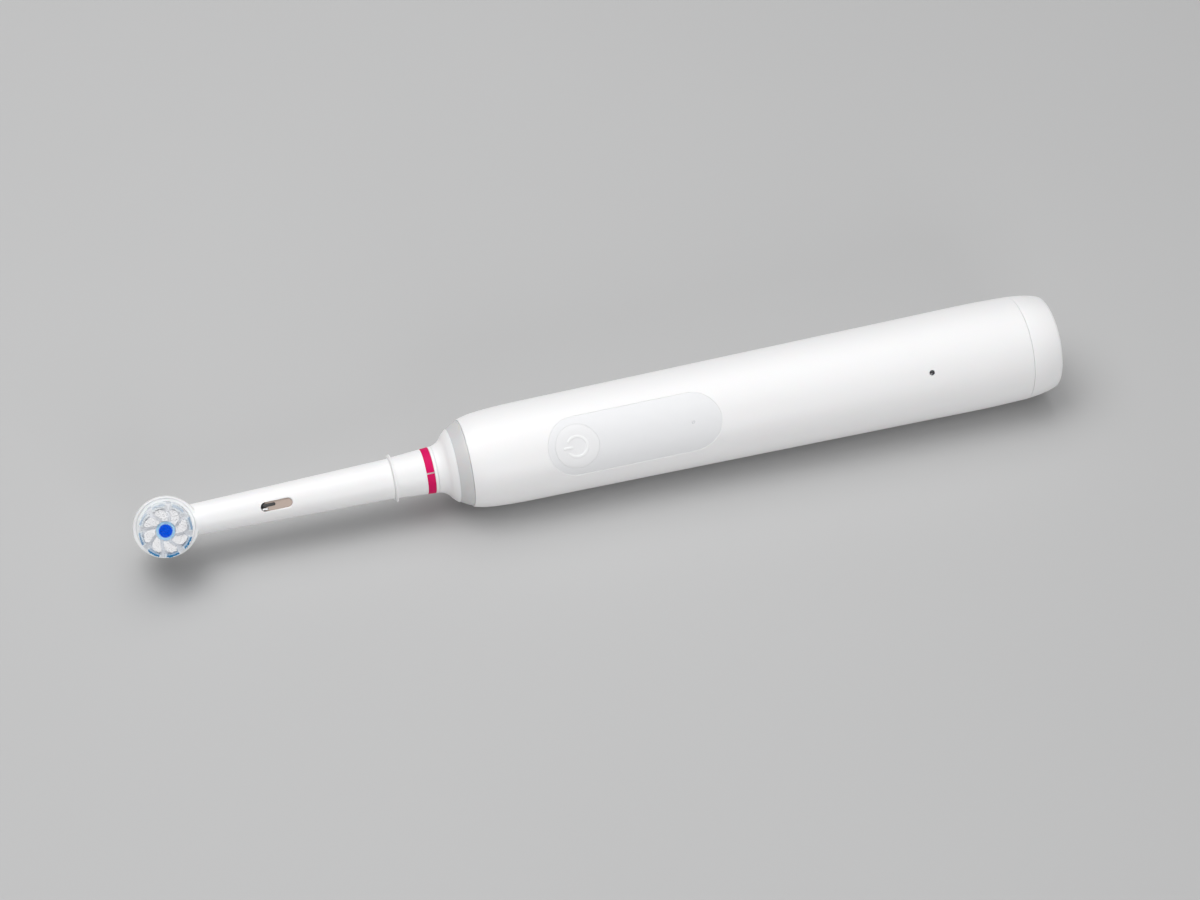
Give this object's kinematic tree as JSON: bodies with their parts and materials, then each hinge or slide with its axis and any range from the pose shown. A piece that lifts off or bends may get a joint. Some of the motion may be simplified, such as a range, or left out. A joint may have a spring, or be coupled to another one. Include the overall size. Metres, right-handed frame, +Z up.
{
  "type": "electric toothbrush",
  "caption": "Slim round-handled rechargeable electric toothbrush with a round rocking brush head, lying on its side with its front half turned up.",
  "frame": {"origin": "centre of the bounding box's bottom face, on the table under the lying brush", "axes": "+X along the handle from the brush head to the base, +Z up; the front with button and bristles looks towards -Y, 50 degrees from straight up; the handle's own axis rises 0.57 degrees towards the base, because the handle tapers"},
  "size_m": [0.237, 0.0272, 0.0272],
  "materials": {
    "gloss_white": "gloss",
    "satin_white": "satin",
    "soft_grey": "matte soft-touch",
    "ring_grey": "translucent satin",
    "magenta": "satin",
    "blue_nylon": "fibre ends",
    "clear_nylon": "translucent fibre ends",
    "steel": "ground",
    "dark_steel": "phosphated",
    "bronze": "sintered",
    "copper": "enamelled wire",
    "black_rubber": "matte",
    "board_green": "solder mask",
    "battery_wrap": "shrink film",
    "chassis_blue": "moulded",
    "gear_white": "acetal",
    "dark_plastic": "moulded",
    "lens_dark": "smoked",
    "ferrite": "sintered"
  },
  "bodies": {
    "handle": {"housing": "gloss_white", "front_panel": "soft_grey", "rear_grip": "soft_grey", "charge_lens": "lens_dark", "panel_lens": "lens_dark", "light_ring": "ring_grey", "nose_collar": "gloss_white", "rear_bearing": "bronze", "front_bearing": "bronze", "shaft_seal": "black_rubber", "base_cap": "gloss_white", "base_seal": "black_rubber", "coil_bobbin": "dark_plastic", "charging_coil": "copper", "battery": "battery_wrap", "battery_tab_rear": "steel", "battery_tab_front": "steel", "chassis": "chassis_blue", "circuit_board": "board_green", "switch_body": "dark_plastic", "charge_led": "gear_white", "panel_led": "gear_white", "ring_led": "gear_white", "motor_can": "steel", "motor_end_cap": "dark_plastic", "motor_magnet_left": "ferrite", "motor_magnet_right": "ferrite", "motor_screw_left": "dark_steel", "motor_screw_right": "dark_steel", "gear_axle": "steel"},
    "button": {"button_cap": "soft_grey"},
    "switch": {"switch_plunger": "dark_plastic"},
    "motor_rotor": {"armature": "copper", "motor_shaft": "steel", "pinion": "bronze"},
    "crank": {"crank_gear": "gear_white"},
    "shaft": {"drive_shaft": "steel", "rocker_arm": "dark_steel"},
    "refill": {"brush_tube": "gloss_white", "refill_base": "gloss_white", "colour_ring": "magenta", "head_pin": "steel"},
    "refill_rod": {"crank_rod": "steel", "rod_coupling": "gear_white"},
    "brush_disc": {"bristle_carrier": "satin_white", "centre_tuft": "blue_nylon", "petal_tufts": "clear_nylon", "rim_tufts": "blue_nylon"}
  },
  "joints": [
    {"name": "button_press", "type": "slide", "parent": "handle", "child": "button", "axis": [0.0064, 0.766, -0.6428], "range_m": [0, 0.0005], "stiffness_N_per_m": 2500},
    {"name": "switch_press", "type": "slide", "parent": "handle", "child": "switch", "axis": [0.0064, 0.766, -0.6428], "range_m": [0, 0.0005]},
    {"name": "motor_spin", "type": "hinge", "parent": "handle", "child": "motor_rotor", "pos_m": [0.01639, 0, 0.01279], "axis": [1, 0, 0.0099], "continuous": true},
    {"name": "crank_spin", "type": "hinge", "parent": "handle", "child": "crank", "pos_m": [0.01643, 0.00421, 0.00925], "axis": [1, 0, 0.0099], "continuous": true},
    {"name": "shaft_rock", "type": "hinge", "parent": "handle", "child": "shaft", "pos_m": [-0.0598, 0, 0.01203], "axis": [1, 0, 0.0099], "range_deg": [-27, 27]},
    {"name": "refill_pull", "type": "slide", "parent": "handle", "child": "refill", "axis": [-1, 0, -0.0099], "range_m": [0, 0.018]},
    {"name": "rod_rock", "type": "hinge", "parent": "refill", "child": "refill_rod", "pos_m": [-0.0598, 0, 0.01203], "axis": [1, 0, 0.0099], "range_deg": [-27, 27]},
    {"name": "brush_rock", "type": "hinge", "parent": "refill", "child": "brush_disc", "pos_m": [-0.1105, 0, 0.01153], "axis": [-0.0064, -0.766, 0.6428], "range_deg": [-21.1, 21.1]}
  ],
  "couplings": [
    {"joint": "switch_press", "follows": "button_press", "ratio": 1},
    {"joint": "crank_spin", "follows": "motor_spin", "ratio": -0.57143},
    {"joint": "rod_rock", "follows": "shaft_rock", "ratio": 1},
    {"joint": "brush_rock", "follows": "shaft_rock", "ratio": -0.78}
  ]
}
